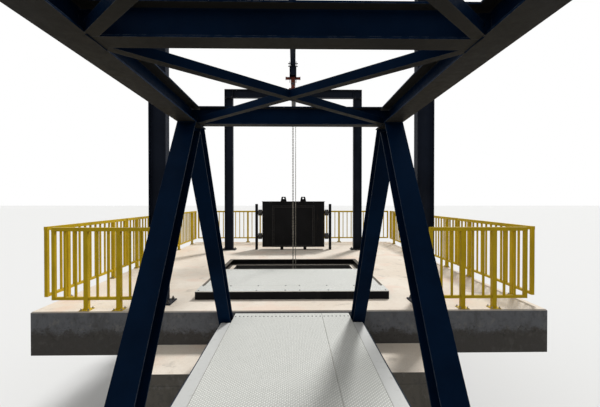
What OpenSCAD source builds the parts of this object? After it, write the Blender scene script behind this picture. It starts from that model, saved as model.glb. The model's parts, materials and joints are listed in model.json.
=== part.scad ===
// Sluice gate tower: a concrete gate shaft with a working platform, a truss
// footbridge, a portal gantry with a monorail hoist, and the gate leaf parked
// upright on the platform. Millimetres, +Z up, +Y from the footbridge to the
// tower. The origin is under the middle of the whole plan, at the tower base.

/* [Platform] */
// Height of the platform top above the tower base
deck_h = 3000; // [2200:50:5000]
// Width of the platform slab
slab_w = 7160; // [6400:10:8500]
// Length of the platform slab
slab_len = 7900; // [7700:50:9500]
// Thickness of the platform slab
slab_t = 600; // [300:10:700]
// Bevel along the upper edge of the slab
slab_bevel = 15; // [5:1:40]

/* [Tower] */
// Outer width of the gate shaft
tower_w = 3910; // [3600:10:5000]
// Length of the gate shaft under the slab
tower_len = 6200; // [5600:10:7500]
// Clear width of the gate well
well_w = 2660; // [2560:10:2800]
// Clear length of the gate well
well_len = 2660; // [2560:10:2700]
// Distance from the slab's front edge to the gate well
well_setback = 675; // [600:5:700]
// Thickness of the walls across the shaft behind the well
wall_t = 625; // [400:5:800]
// Depth of the bridge seat in front of the slab
seat_depth = 800; // [600:10:1200]
// Drop from the platform top to the bridge seat
seat_drop = 463; // [420:1:600]

/* [Hatch] */
// Width of the ledge between the well's side and the kerb
kerb_ledge_x = 90; // [80:5:200]
// Ledge between the well and the kerb at its two ends
kerb_ledge_y = 55; // [40:5:100]
// Height of the kerb channel
kerb_h = 120; // [80:5:200]
// Width of the kerb channel's flanges
kerb_flange = 80; // [60:5:120]
// Thickness of the kerb channel
kerb_t = 8; // [6:1:14]
// Length of the front cover plate
front_cover_len = 360; // [250:10:500]
// Length of the main cover plate
main_cover_len = 1327; // [900:1:1400]
// Thickness of the cover plates
cover_t = 10; // [6:1:16]
// Gap between the two cover plates
cover_gap = 3; // [2:1:10]
// Bearing of the main cover plate on the kerb
cover_bearing = 20; // [12:1:50]
// Depth of the ribs under the covers
cover_rib_h = 80; // [40:5:100]

/* [Gate guides] */
// Clear width of a guide slot along the bridge axis
guide_slot = 300; // [280:5:400]
// Reach of the guide flanges into the well
guide_reach = 140; // [120:5:150]
// Thickness of the guide plates
guide_t = 12; // [8:1:20]
// Distance from the platform top to the head of the guides
guide_drop = 60; // [20:5:300]

/* [Gantry] */
// Half distance between the gantry columns
column_x = 1990; // [1850:5:2300]
// Distance from the slab's front edge to the front portal
front_portal_y = 415; // [300:5:420]
// Distance between the two portals
portal_spacing = 5460; // [5400:5:6000]
// Height of the portal tops above the platform
portal_h = 4950; // [4200:10:6000]
// Depth of the column section, across the bridge axis
column_d = 254; // [200:1:300]
// Width of the column flanges
column_b = 146; // [100:1:200]
// Depth of the portal beams
portal_beam_d = 250; // [200:5:350]
// Flange thickness of the gantry sections
gantry_flange = 11; // [8:1:16]
// Web thickness of the gantry sections
gantry_web = 7; // [6:1:12]
// Length of the column base plates
base_plate_l = 420; // [360:10:520]
// Width of the column base plates
base_plate_w = 300; // [220:10:400]
// Thickness of the column base plates
base_plate_t = 20; // [12:1:40]

/* [Monorail] */
// Depth of the monorail beam
monorail_d = 210; // [160:5:260]
// Flange width of the monorail beam
monorail_b = 110; // [90:5:140]
// Flange thickness of the monorail beam
monorail_flange = 12; // [8:1:18]
// Overhang of the monorail in front of the front portal
monorail_front = 300; // [200:10:350]
// Overhang of the monorail behind the rear portal
monorail_rear = 1300; // [600:10:1500]

/* [Hoist] */
// Distance from the slab's front edge to the hoist
hoist_setback = 2880; // [2870:5:2900]
// Length of the trolley plates along the rail
trolley_len = 230; // [180:5:300]
// Thickness of the trolley plates
trolley_t = 12; // [8:1:20]
// Gap between the trolley plates and the rail's flange
trolley_gap = 8; // [6:1:15]
// Diameter of the trolley wheels
trolley_wheel_d = 70; // [50:1:90]
// Diameter of the suspension shaft
shaft_d = 60; // [40:1:70]
// Length of the suspension shaft
shaft_len = 330; // [250:5:400]
// Drop of the shaft under the rail
shaft_drop = 250; // [200:5:300]
// Diameter of the hoist housing
hoist_d = 240; // [180:5:300]
// Width of the hoist housing
hoist_w = 130; // [110:5:200]
// Drop of the housing centre under the shaft
hoist_drop = 340; // [300:5:450]
// Outer width of a load chain link
chain_w = 36; // [28:1:48]
// Offset of the hand chain from the load chain
hand_chain_x = 58; // [56:1:70]
// Thickness of the hand chain
hand_chain_wire = 16; // [10:1:20]
// Spread of the two strands of the hand chain
hand_chain_spread = 160; // [120:5:200]
// Depth of the load hook under the platform top
hook_depth = 950; // [800:10:2000]
// Depth of the hand chain's loop under the platform top
hand_chain_depth = 560; // [300:10:700]

/* [Gate leaf] */
// Distance from the slab's front edge to the parked leaf
leaf_setback = 5940; // [5800:5:6100]
// Width of the gate leaf
leaf_w = 1920; // [1600:10:2100]
// Height of the gate leaf
leaf_h = 1400; // [1100:10:1800]
// Depth of the gate leaf
leaf_d = 240; // [180:5:300]
// Height of the feet under the leaf
foot_h = 90; // [60:5:150]
// Skin plate thickness
skin_t = 12; // [8:1:20]
// Half distance between the lifting lugs
lug_x = 305; // [200:5:450]
// Half distance between the feet
foot_x = 360; // [200:5:600]
// Width of the feet
foot_w = 90; // [60:5:150]
// Height of the lifting lugs
lug_h = 155; // [120:5:220]
// Diameter of the lug holes
lug_hole_d = 45; // [30:1:60]
// Thickness of the lugs
lug_t = 30; // [20:1:50]
// Half width of the seal frame
seal_x = 650; // [500:5:800]
// Distance from the leaf's top to the seal frame
seal_drop = 120; // [80:5:250]
// Width of the seal strip
seal_w = 60; // [40:5:90]
// Thickness of the seal strip
seal_t = 20; // [12:1:35]
// Clear space between the leaf's side and the end beams
wheel_space = 155; // [130:5:200]
// Width of the end beams
end_beam_b = 65; // [50:5:100]
// Depth of the end beams
end_beam_d = 200; // [150:5:260]
// Diameter of the leaf wheels
wheel_d = 190; // [150:5:220]
// Width of the leaf wheels
wheel_w = 110; // [80:5:120]
// Diameter of the wheel axles
axle_d = 50; // [35:1:70]
// Height of the lower wheels above the platform
lower_wheel_h = 416; // [300:5:550]
// Distance between the lower and the upper wheels
wheel_pitch = 734; // [600:2:850]
// Radial clearance of a wheel on its axle
axle_fit = 0.1; // [0.05:0.05:0.3]

/* [Footbridge] */
// Half distance between the trusses
truss_x = 850; // [830:5:1000]
// Length of a truss panel
panel_len = 3050; // [2600:10:3600]
// Number of truss panels
panels = 3; // [2:1:4]
// Depth of the chord sections
chord_d = 150; // [120:5:180]
// Width of the chord and diagonal flanges
chord_b = 150; // [120:5:160]
// Depth of the diagonals
diagonal_d = 150; // [120:5:180]
// Flange thickness of the truss sections
chord_flange = 9; // [7:1:14]
// Web thickness of the truss sections
chord_web = 6.5; // [5:0.5:10]
// Height of the top chords' underside above the deck
headroom = 2172; // [2000:4:2600]
// Gap between the bridge deck and the slab
deck_gap = 100; // [50:5:150]
// Distance from the deck's end to the end node
node_setback = 145; // [80:5:300]
// Half width of the bridge deck
deck_x = 885; // [860:5:900]
// Thickness of the deck plates
deck_t = 6; // [4:1:12]
// Height of the stringers under the deck
stringer_h = 44; // [30:1:80]
// Width of the top crossbeams
cross_b = 100; // [70:5:140]
// Leg of the bracing angles
angle_leg = 50; // [40:1:90]
// Thickness of the bracing angles
angle_t = 5; // [4:1:10]

/* [Railings] */
// Height of the railings
rail_h = 1150; // [900:10:1300]
// Distance between two balusters
pitch = 150; // [100:5:160]
// Side of the top rail
top_rail = 52; // [30:1:70]
// Side of the bottom rail
bottom_rail = 40; // [25:1:60]
// Height of the bottom rail's centre
bottom_rail_h = 160; // [100:5:200]
// Side of the posts that stand on the slab
post = 60; // [40:1:80]
// Side of the posts' base plates
foot_plate = 140; // [100:5:160]
// Side of the posts at a panel's ends, which hang clear of the slab
end_post = 45; // [30:1:60]
// Side of the balusters
baluster = 26; // [16:1:35]
// Inset of the front and rear railings from the slab's edge
end_inset = 90; // [80:5:150]
// Inset of the side railings from the slab's edge
side_inset = 45; // [40:5:150]
// Distance from the slab's side to the first post of a front railing
front_rail_offset = 260; // [180:5:400]
// Pitches in a front railing
front_pitches = 9; // [6:1:9]
// Gap between two railing panels
panel_gap = 100; // [60:5:150]

/* [Hidden] */
$fn = 48;

// Overlap that makes a cut pass its face
cut = 10;
// Radius between the web and the flanges of the rolled sections
root_r = 10;
// Fine gap that keeps two separate solids apart
sliver = 2;
// Gap between the hand chain and its wheel
chain_seat = 0.3;
// Length of the chain outlet under the hoist's housing
chain_outlet = 18;

// Along the axis: the slab's front edge, the well, the portals, the bridge nodes
deck_len = panels * panel_len + 2 * node_setback;
bridge_reach = deck_gap + deck_len;
front_y = (bridge_reach - slab_len) / 2;
rear_y = front_y + slab_len;
well_y0 = front_y + well_setback;
well_y1 = well_y0 + well_len;
kerb_y0 = well_y0 - kerb_ledge_y - kerb_flange;
kerb_y1 = well_y1 + kerb_ledge_y + kerb_flange;
kerb_x = well_w / 2 + kerb_ledge_x + kerb_flange;
tower_y1 = front_y + tower_len;
main_cover_y0 = kerb_y0 + front_cover_len + cover_gap;
main_cover_y1 = main_cover_y0 + main_cover_len;
portal_y0 = front_y + front_portal_y;
portal_y1 = portal_y0 + portal_spacing;
hoist_y = front_y + hoist_setback;
leaf_y = front_y + leaf_setback;
deck_y1 = front_y - deck_gap;
deck_y0 = deck_y1 - deck_len;
half_panel = panel_len / 2;
function station_y(i) = deck_y1 - node_setback - i * half_panel;

// Heights of the gantry and the hoist
beam_under_z = deck_h + portal_h - portal_beam_d;
rail_under_z = beam_under_z - monorail_d;
shaft_z = rail_under_z - shaft_drop;
hoist_z = shaft_z - hoist_drop;
chain_top_z = hoist_z - hoist_d / 2 - chain_outlet;
chain_low_z = deck_h - hook_depth;

// Heights of the bridge
deck_drop = deck_t + stringer_h;
bottom_chord_top = deck_h - deck_drop;
bottom_chord_under = bottom_chord_top - chord_d;
top_chord_under = deck_h + headroom;
seat_z = deck_h - seat_drop;

// Heights and places of the leaf
leaf_z = deck_h + foot_h;
upper_wheel_h = lower_wheel_h + wheel_pitch;
end_beam_x = leaf_w / 2 + wheel_space;
end_beam_h = foot_h + leaf_h - 70;
wheel_x = leaf_w / 2 + wheel_space / 2;

concrete = [0.78, 0.75, 0.68];
bridge_blue = [0.05, 0.07, 0.14];
gantry_blue = [0.09, 0.10, 0.14];
leaf_black = [0.08, 0.08, 0.09];
rail_yellow = [0.78, 0.62, 0.08];
plate_grey = [0.72, 0.74, 0.73];
hoist_red = [0.66, 0.20, 0.10];
chain_grey = [0.55, 0.55, 0.55];

// Rolled I-section in the XY plane, with its depth along Y
module i_profile(depth, width, flange, web) {
    square([web, depth - flange], center = true);
    for (end = [0, 1]) mirror([0, end]) {
        translate([-width / 2, depth / 2 - flange]) square([width, flange]);
        for (side = [0, 1]) mirror([side, 0]) translate([web / 2, depth / 2 - flange]) root_fillet();
    }
}

// Concave fillet in the corner between a web and a flange
module root_fillet() {
    difference() {
        translate([-root_r / 4, -root_r]) square([root_r * 1.25, root_r * 1.25]);
        translate([root_r, -root_r]) circle(root_r);
        translate([root_r, -2 * root_r]) square([2 * root_r, 4 * root_r]);
    }
}

// I-beam along Y, from y0 to y1, with its middle at x and its underside at z
module i_beam_y(x, y0, y1, z, depth, width, flange, web) {
    translate([x, y1, z + depth / 2])
        rotate([90, 0, 0])
            linear_extrude(y1 - y0) i_profile(depth, width, flange, web);
}

// I-beam along X, centred, with its middle at y and its underside at z
module i_beam_x(half, y, z, depth, width, flange, web) {
    translate([-half, y, z + depth / 2])
        rotate([90, 0, 90])
            linear_extrude(2 * half) i_profile(depth, width, flange, web);
}

// Box from one corner to the opposite one
module block(low, high) {
    translate(low) cube(high - low);
}

// Flat rectangular ring, from its outer half width and its two ends
module ring(half, y0, y1, width, z0, z1) {
    difference() {
        block([-half, y0, z0], [half, y1, z1]);
        block([width - half, y0 + width, z0 - cut], [half - width, y1 - width, z1 + cut]);
    }
}

module platform_slab() {
    color(concrete) difference() {
        block([-slab_w / 2, front_y, deck_h - slab_t], [slab_w / 2, rear_y, deck_h]);
        block([-well_w / 2, well_y0, deck_h - slab_t - cut], [well_w / 2, well_y1, deck_h + cut]);
        for (side = [0, 180]) {
            rotate([0, 0, side]) translate([slab_w / 2, 0, deck_h]) bevel_cut(slab_len + bridge_reach);
            translate([0, (front_y + rear_y) / 2, 0]) rotate([0, 0, side])
                translate([0, slab_len / 2, deck_h]) rotate([0, 0, 90]) bevel_cut(slab_w);
        }
    }
}

// Square bar on its edge, which takes a bevel off an edge along Y
module bevel_cut(length) {
    rotate([0, 45, 0]) cube([slab_bevel * sqrt(2), length + cut, slab_bevel * sqrt(2)], center = true);
}

module bridge_seat() {
    color(concrete) block([-tower_w / 2, front_y - seat_depth, 0], [tower_w / 2, front_y, seat_z]);
}

// Wall across the shaft, between the side walls
module cross_wall(y0, y1) {
    color(concrete) block([-well_w / 2, y0, 0], [well_w / 2, y1, deck_h - slab_t]);
}

// Wall along one side of the shaft
module side_wall(side) {
    low = min(side * well_w / 2, side * tower_w / 2);
    high = max(side * well_w / 2, side * tower_w / 2);
    color(concrete) block([low, front_y, 0], [high, tower_y1, deck_h - slab_t]);
}

// Channel round the hatch, with its flanges towards the well
module hatch_kerb() {
    color(leaf_black) {
        ring(kerb_x, kerb_y0, kerb_y1, kerb_flange, deck_h, deck_h + kerb_t);
        ring(kerb_x, kerb_y0, kerb_y1, kerb_t, deck_h, deck_h + kerb_h);
        ring(kerb_x, kerb_y0, kerb_y1, kerb_flange, deck_h + kerb_h - kerb_t, deck_h + kerb_h);
    }
}

// Front plate over the whole kerb, and the ribbed main plate inside it
module hatch_covers() {
    top = deck_h + kerb_h;
    main_x = kerb_x - kerb_flange + cover_bearing;
    rib_x = kerb_x - kerb_flange - sliver;
    color(plate_grey) {
        block([-kerb_x, kerb_y0, top], [kerb_x, kerb_y0 + front_cover_len, top + cover_t]);
        block([-main_x, main_cover_y0, top], [main_x, main_cover_y1, top + cover_t]);
        for (share = [0, 1 / 3, 2 / 3, 1]) {
            y = main_cover_y0 + share * (main_cover_len - cover_t);
            block([-rib_x, y, top - cover_rib_h], [rib_x, y + cover_t, top]);
        }
    }
}

// Slots in the side walls of the well, which the leaf's wheels run in
module gate_guides() {
    mid = (main_cover_y1 + well_y1) / 2;
    color(leaf_black) for (side = [0, 1]) mirror([side, 0, 0]) {
        wall = well_w / 2;
        half = guide_slot / 2 + guide_t;
        top = deck_h - guide_drop;
        block([wall - guide_t, mid - half, 0], [wall, mid + half, top]);
        for (end = [-half, half - guide_t])
            block([wall - guide_reach, mid + end, 0], [wall, mid + end + guide_t, top]);
    }
}

// Column with its base plate and its cap plate
module column(x, y) {
    cap_t = 15;
    foot = deck_h + base_plate_t;
    color(gantry_blue) translate([x, y, 0]) {
        block([-base_plate_l / 2, -base_plate_w / 2, deck_h], [base_plate_l / 2, base_plate_w / 2, foot]);
        translate([0, 0, foot]) rotate([0, 0, 90]) linear_extrude(beam_under_z - cap_t - foot)
            i_profile(column_d, column_b, gantry_flange, gantry_web);
        block([-column_d / 2, -column_b / 2, beam_under_z - cap_t],
            [column_d / 2, column_b / 2, beam_under_z]);
    }
}

// Beam over two columns, with stiffeners above each column's flanges
module portal_beam(y) {
    stiffener_t = 10;
    color(gantry_blue) {
        i_beam_x(column_x + column_d / 2, y, beam_under_z, portal_beam_d, column_b,
            gantry_flange, gantry_web);
        for (side = [-1, 1], face = [-1, 1])
            translate([side * column_x + face * (column_d - stiffener_t) / 2, y,
                    beam_under_z + portal_beam_d / 2])
                cube([stiffener_t, column_b, portal_beam_d - gantry_flange], center = true);
    }
}

// Rail beam under both portals, with a stop plate at each end
module monorail_beam() {
    y0 = portal_y0 - monorail_front;
    y1 = portal_y1 + monorail_rear;
    stop_t = 12;
    stop_x = monorail_b / 2 + 30;
    color(gantry_blue) {
        i_beam_y(0, y0, y1, rail_under_z, monorail_d, monorail_b, monorail_flange, 8);
        for (y = [y0 - stop_t, y1])
            block([-stop_x, y, rail_under_z - 30], [stop_x, y + stop_t, beam_under_z - 30]);
    }
}

// Side plates and cross plates, with four wheels that run on the rail's lower flange
module trolley() {
    plate_x = monorail_b / 2 + trolley_gap;
    tread_z = rail_under_z + monorail_flange + 0.3 + trolley_wheel_d / 2;
    wheel_w = monorail_b / 2 - 22;
    axle_y = trolley_len / 2 - trolley_wheel_d / 2 - 5;
    color(gantry_blue) for (side = [0, 1]) mirror([side, 0, 0]) {
        difference() {
            block([plate_x, hoist_y - trolley_len / 2, shaft_z - shaft_d],
                [plate_x + trolley_t, hoist_y + trolley_len / 2, tread_z + trolley_wheel_d / 2]);
            translate([plate_x, hoist_y, shaft_z]) rotate([0, 90, 0])
                cylinder(h = 4 * trolley_t, d = shaft_d, center = true);
        }
        for (end = [-1, 1]) translate([0, hoist_y + end * axle_y, tread_z]) rotate([0, 90, 0]) {
            translate([0, 0, 16]) cylinder(h = wheel_w, d = trolley_wheel_d);
            translate([0, 0, 16]) cylinder(h = plate_x + trolley_t, d = 18);
        }
        for (end = [-1, 1]) translate([0, hoist_y + end * (trolley_len / 2 - 2 * trolley_t), 0])
            block([0, -trolley_t / 2, shaft_z + 45], [plate_x, trolley_t / 2, rail_under_z - 10]);
    }
}

// Round bar through the trolley plates, with a collar at each end
module suspension_shaft() {
    collar = 18;
    color(hoist_red) translate([0, hoist_y, shaft_z]) rotate([0, 90, 0]) {
        cylinder(h = shaft_len, d = shaft_d, center = true);
        for (end = [-1, 1]) translate([0, 0, end * (shaft_len - collar) / 2])
            cylinder(h = collar, d = shaft_d + 12, center = true);
    }
}

// Clevis on the shaft, eye, domed housing, hand wheel and its cover
module chain_hoist() {
    left_x = hand_chain_x - hand_chain_wire - hoist_w;
    right_x = left_x + hoist_w;
    wheel_end_x = 2 * hand_chain_x - right_x;
    hand_wheel_d = hand_chain_spread - hand_chain_wire - 2 * chain_seat;
    eye_bar = 22;
    eye_r = 38;
    clevis_low_z = shaft_z - 80;
    eye_z = clevis_low_z - eye_r + eye_bar / 4;
    dome_z = eye_z - eye_r + eye_bar / 4;
    dome_d = 90;
    dome_h = 50;
    color(hoist_red) translate([0, hoist_y, 0]) {
        difference() {
            union() {
                translate([0, 0, shaft_z]) rotate([0, 90, 0])
                    cylinder(h = 80, d = shaft_d + 30, center = true);
                block([-40, -25, clevis_low_z], [40, 25, shaft_z]);
            }
            translate([0, 0, shaft_z]) rotate([0, 90, 0]) cylinder(h = 100, d = shaft_d, center = true);
        }
        translate([0, 0, eye_z]) rotate([90, 0, 0])
            rotate_extrude() translate([eye_r, 0]) circle(d = eye_bar);
        translate([0, 0, hoist_z]) cylinder(h = dome_z - hoist_z - dome_h, d = dome_d);
        translate([0, 0, dome_z - dome_h]) cylinder(h = dome_h, d1 = dome_d, d2 = dome_d / 2);
        translate([0, 0, hoist_z]) rotate([0, 90, 0]) {
            translate([0, 0, left_x]) cylinder(h = hoist_w, d = hoist_d);
            translate([0, 0, right_x]) cylinder(h = wheel_end_x - right_x, d = hand_wheel_d);
            translate([0, 0, wheel_end_x]) cylinder(h = 14, d = hoist_d - 30);
        }
        block([-chain_w, -chain_w, chain_top_z], [chain_w, chain_w, hoist_z]);
    }
}

module load_chain() {
    color(chain_grey) block([-chain_w / 2, hoist_y - chain_w / 2, chain_low_z],
        [chain_w / 2, hoist_y + chain_w / 2, chain_top_z]);
}

// Endless chain over the hand wheel, with a round lower loop
module hand_chain() {
    half = hand_chain_spread / 2;
    low = deck_h - hand_chain_depth;
    color(chain_grey) translate([hand_chain_x, hoist_y, 0]) {
        for (strand = [-1, 1])
            translate([0, strand * half, low]) cylinder(h = hoist_z - low, d = hand_chain_wire);
        for (end = [0, 180])
            translate([0, 0, end == 0 ? hoist_z : low]) rotate([90, 0, 90]) rotate([0, 0, end])
                rotate_extrude(angle = 180) translate([half, 0]) circle(d = hand_chain_wire);
    }
}

// Swivel block and hook at the load chain's lower end
module load_hook() {
    bow = 55;
    bar = 28;
    shank = 60;
    color(hoist_red) translate([0, hoist_y, chain_low_z]) {
        translate([0, 0, -80]) cylinder(h = 80, d = 76);
        translate([0, 0, -80 - shank]) cylinder(h = shank + cut, d = bar);
        translate([0, 0, -80 - shank - bow]) rotate([90, 0, 0]) rotate([0, 0, -180])
            rotate_extrude(angle = 270) translate([bow, 0]) circle(d = bar);
    }
}

module leaf_skin() {
    color(leaf_black) block([-leaf_w / 2, leaf_y - leaf_d / 2, leaf_z],
        [leaf_w / 2, leaf_y - leaf_d / 2 + skin_t, leaf_z + leaf_h]);
}

// Frame behind the skin: top, bottom and middle girders, diaphragms, sides, feet
module leaf_girders() {
    front = leaf_y - leaf_d / 2 + skin_t;
    back = leaf_y + leaf_d / 2;
    plate = 12;
    brim = 20;
    color(leaf_black) {
        block([-leaf_w / 2 - brim, front - skin_t - brim, leaf_z + leaf_h],
            [leaf_w / 2 + brim, back, leaf_z + leaf_h + plate]);
        for (share = [0, 1 / 3, 2 / 3]) {
            z = leaf_z + share * leaf_h;
            block([-leaf_w / 2, front, z], [leaf_w / 2, back, z + plate]);
        }
        for (x = [-leaf_w / 2, -lug_x - plate / 2, lug_x - plate / 2, leaf_w / 2 - plate])
            block([x, front, leaf_z], [x + plate, back, leaf_z + leaf_h + plate]);
        for (share = [1 / 3, 2 / 3]) {
            z = leaf_z + share * leaf_h - 34;
            block([-leaf_w / 2, back - plate, z], [leaf_w / 2, back, z + 80]);
        }
        for (side = [-1, 1])
            translate([side * foot_x - foot_w / 2, front, deck_h])
                cube([foot_w, leaf_d - skin_t, foot_h]);
    }
}

// Rubber strip in a rectangle on the skin plate
module leaf_seal() {
    face = leaf_y - leaf_d / 2;
    top = leaf_z + leaf_h - seal_drop;
    color("black") translate([0, face, 0]) rotate([90, 0, 0]) linear_extrude(seal_t) difference() {
        translate([-seal_x, leaf_z]) square([2 * seal_x, top - leaf_z]);
        translate([seal_w - seal_x, leaf_z + seal_w])
            square([2 * (seal_x - seal_w), top - leaf_z - 2 * seal_w]);
    }
}

// Two tapered ears with a shackle hole, on the leaf's top plate
module lifting_lugs() {
    base = 190;
    head = 125;
    foot_z = leaf_z + leaf_h + 12;
    color(leaf_black) for (side = [-1, 1])
        translate([side * lug_x, leaf_y + lug_t / 2, foot_z]) rotate([90, 0, 0]) linear_extrude(lug_t)
            difference() {
                polygon([[-base / 2, 0], [base / 2, 0], [head / 2, lug_h - 12], [-head / 2, lug_h - 12]]);
                translate([0, lug_h * 0.6]) circle(d = lug_hole_d);
            }
}

// Channel outside the wheels, with both axles
module end_beam(side) {
    t = 10;
    color(leaf_black) mirror([side < 0 ? 1 : 0, 0, 0]) {
        difference() {
            block([end_beam_x, leaf_y - end_beam_d / 2, deck_h],
                [end_beam_x + end_beam_b, leaf_y + end_beam_d / 2, deck_h + end_beam_h]);
            block([end_beam_x - cut, leaf_y - end_beam_d / 2 + t, deck_h + t],
                [end_beam_x + end_beam_b - t, leaf_y + end_beam_d / 2 - t, deck_h + end_beam_h - t]);
        }
        for (h = [lower_wheel_h, upper_wheel_h])
            translate([leaf_w / 2, leaf_y, deck_h + h]) rotate([0, 90, 0])
                cylinder(h = wheel_space + end_beam_b, d = axle_d);
    }
}

// Wheel with a dished web and a long hub
module leaf_wheel(side, h) {
    rim_t = 22;
    hub_d = axle_d + 40;
    web_t = 30;
    hub_w = wheel_w + 16;
    color(gantry_blue) translate([side * wheel_x, leaf_y, deck_h + h]) rotate([0, 90, 0])
        difference() {
            union() {
                difference() {
                    cylinder(h = wheel_w, d = wheel_d, center = true);
                    for (face = [-1, 1]) translate([0, 0, face * (wheel_w + web_t) / 2])
                        cylinder(h = wheel_w, d = wheel_d - 2 * rim_t, center = true);
                }
                cylinder(h = hub_w, d = hub_d, center = true);
            }
            cylinder(h = wheel_space, d = axle_d + 2 * axle_fit, center = true);
        }
}

module bottom_chord(side) {
    color(bridge_blue) i_beam_y(side * truss_x, deck_y0, deck_y1, bottom_chord_under,
        chord_d, chord_b, chord_flange, chord_web);
}

// Top chord, reaching past the heads of the last diagonals
module top_chord(side) {
    overhang = 1.2 * chord_d;
    color(bridge_blue) i_beam_y(side * truss_x, station_y(2 * panels - 1) - overhang,
        station_y(1) + overhang, top_chord_under, chord_d, chord_b, chord_flange, chord_web);
}

// Diagonal from one station to the next, trimmed at the chords and at the nodes
module diagonal(side, i) {
    rise = top_chord_under - bottom_chord_top + chord_d;
    foot_y = station_y(i % 2 == 0 ? i : i + 1);
    run = i % 2 == 0 ? -half_panel : half_panel;
    y0 = station_y(i + 1);
    y1 = station_y(i);
    outer_y0 = i == 2 * panels - 1 ? y0 - chord_d : y0 + sliver / 2;
    outer_y1 = i == 0 ? y1 + chord_d : y1 - sliver / 2;
    length = norm([rise, run]);
    intersection() {
        translate([side * truss_x, foot_y, bottom_chord_top - chord_d / 2])
            rotate([atan2(-run, rise), 0, 0]) translate([0, 0, -chord_d])
                linear_extrude(length + 2 * chord_d)
                    i_profile(diagonal_d, chord_b, chord_flange, chord_web);
        block([side * truss_x - chord_b, outer_y0, bottom_chord_top],
            [side * truss_x + chord_b, outer_y1, top_chord_under]);
    }
}

module diagonals(side) {
    color(bridge_blue) for (i = [0 : 2 * panels - 1]) diagonal(side, i);
}

// Beam between two chords, coped so that its web reaches the chords' webs
module coped_beam(y, z) {
    half = truss_x - chord_b / 2;
    i_beam_x(half, y, z, chord_d, cross_b, chord_flange, chord_web);
    for (side = [0, 1]) mirror([side, 0, 0])
        block([half - cut, y - chord_web / 2, z + chord_flange + root_r],
            [truss_x - chord_web / 2, y + chord_web / 2, z + chord_d - chord_flange - root_r]);
}

module top_crossbeams() {
    color(bridge_blue) for (i = [1 : 2 * panels - 1]) coped_beam(station_y(i), top_chord_under);
}

// Angle laid from one corner of a bay to the other, in the plane of the chords' underside
module brace(dx, dy) {
    length = norm([dx, dy]);
    translate([-dx / 2, -dy / 2, 0]) rotate([0, 0, atan2(dy, dx)]) rotate([90, 0, 90])
        linear_extrude(length) {
            translate([-angle_leg / 2, 0]) square([angle_leg, angle_t]);
            translate([-angle_leg / 2, 0]) square([angle_t, angle_leg]);
        }
}

// Crossed angles in each bay, between the flanges of the chords and the crossbeams
module top_bracing() {
    bay_x = truss_x - chord_b / 2;
    bay_y = half_panel - cross_b;
    color(bridge_blue)
        for (i = [1 : 2 * panels - 2]) translate([0, station_y(i) - half_panel / 2, top_chord_under])
            intersection() {
                union() {
                    brace(2 * bay_x, bay_y);
                    brace(2 * bay_x, -bay_y);
                }
                block([-bay_x, -bay_y / 2, 0], [bay_x, bay_y / 2, angle_leg]);
            }
}

// Crossbeams between the bottom chords, with four stringers on them
module floor_frame() {
    stringer_w = 50;
    color(bridge_blue) {
        for (i = [0 : 2 * panels]) coped_beam(station_y(i), bottom_chord_under);
        for (place = [-0.85, -0.28, 0.28, 0.85]) {
            x = place * (truss_x - chord_b / 2 - stringer_w);
            block([x - stringer_w / 2, deck_y0, bottom_chord_top],
                [x + stringer_w / 2, deck_y1, deck_h - deck_t]);
        }
    }
}

// Sheets in two rows between the chords, and a flanged edge strip over each chord
module deck_plates() {
    seam = 3;
    seam_x = 400;
    strip_x = truss_x - chord_b / 2 - 10;
    edge_t = 10;
    sheet_len = deck_len / panels;
    foot_half = 210;
    color(plate_grey) {
        for (i = [0 : panels - 1]) {
            y1 = deck_y1 - i * sheet_len - (i == 0 ? 0 : seam);
            y0 = deck_y1 - (i + 1) * sheet_len;
            block([-strip_x, y0, deck_h - deck_t], [seam_x - seam, y1, deck_h]);
            block([seam_x, y0, deck_h - deck_t], [strip_x, y1, deck_h]);
        }
        for (i = [0 : 2 : 2 * panels - 2], side = [0, 1]) mirror([side, 0, 0]) {
            y1 = station_y(i) - foot_half;
            y0 = station_y(i + 2) + foot_half;
            block([strip_x + seam, y0, deck_h - deck_t], [deck_x, y1, deck_h]);
            block([deck_x - edge_t, y0, bottom_chord_top], [deck_x, y1, deck_h]);
        }
    }
}

// Stepped steel bearings between the seat and the bottom chords
module bridge_bearings() {
    y = front_y - seat_depth / 2;
    plate_t = chord_b / 6;
    foot = [1, 1.15] * chord_b;
    stem = [0.6, 0.75] * chord_b;
    head = [0.75, 0.95] * chord_b;
    color(gantry_blue) for (side = [-1, 1]) translate([side * truss_x, y, 0]) {
        block([-foot.x, -foot.y, seat_z], [foot.x, foot.y, seat_z + plate_t]);
        block([-stem.x, -stem.y, seat_z], [stem.x, stem.y, bottom_chord_under]);
        block([-head.x, -head.y, bottom_chord_under - plate_t], [head.x, head.y, bottom_chord_under]);
    }
}

// Railing panel along +X from the first end post, with floor posts at given pitches
// and base plates that end at the slab's edge, an inset away
module rail_panel(count, floor_posts, inset) {
    length = count * pitch;
    low = bottom_rail_h - bottom_rail / 2;
    plate_t = 10;
    plate_y = min(foot_plate / 2, inset);
    block([-end_post / 2, -top_rail / 2, rail_h - top_rail],
        [length + end_post / 2, top_rail / 2, rail_h]);
    block([0, -bottom_rail / 2, low], [length, bottom_rail / 2, low + bottom_rail]);
    for (i = [0 : count]) {
        is_floor = len(search(i, floor_posts)) > 0;
        is_end = i == 0 || i == count;
        side = is_floor ? post : is_end ? end_post : baluster;
        foot = is_floor ? 0 : low;
        block([i * pitch - side / 2, -side / 2, foot], [i * pitch + side / 2, side / 2, rail_h - top_rail]);
        if (is_floor)
            block([i * pitch - foot_plate / 2, -plate_y, 0],
                [i * pitch + foot_plate / 2, plate_y, plate_t]);
    }
}

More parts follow.
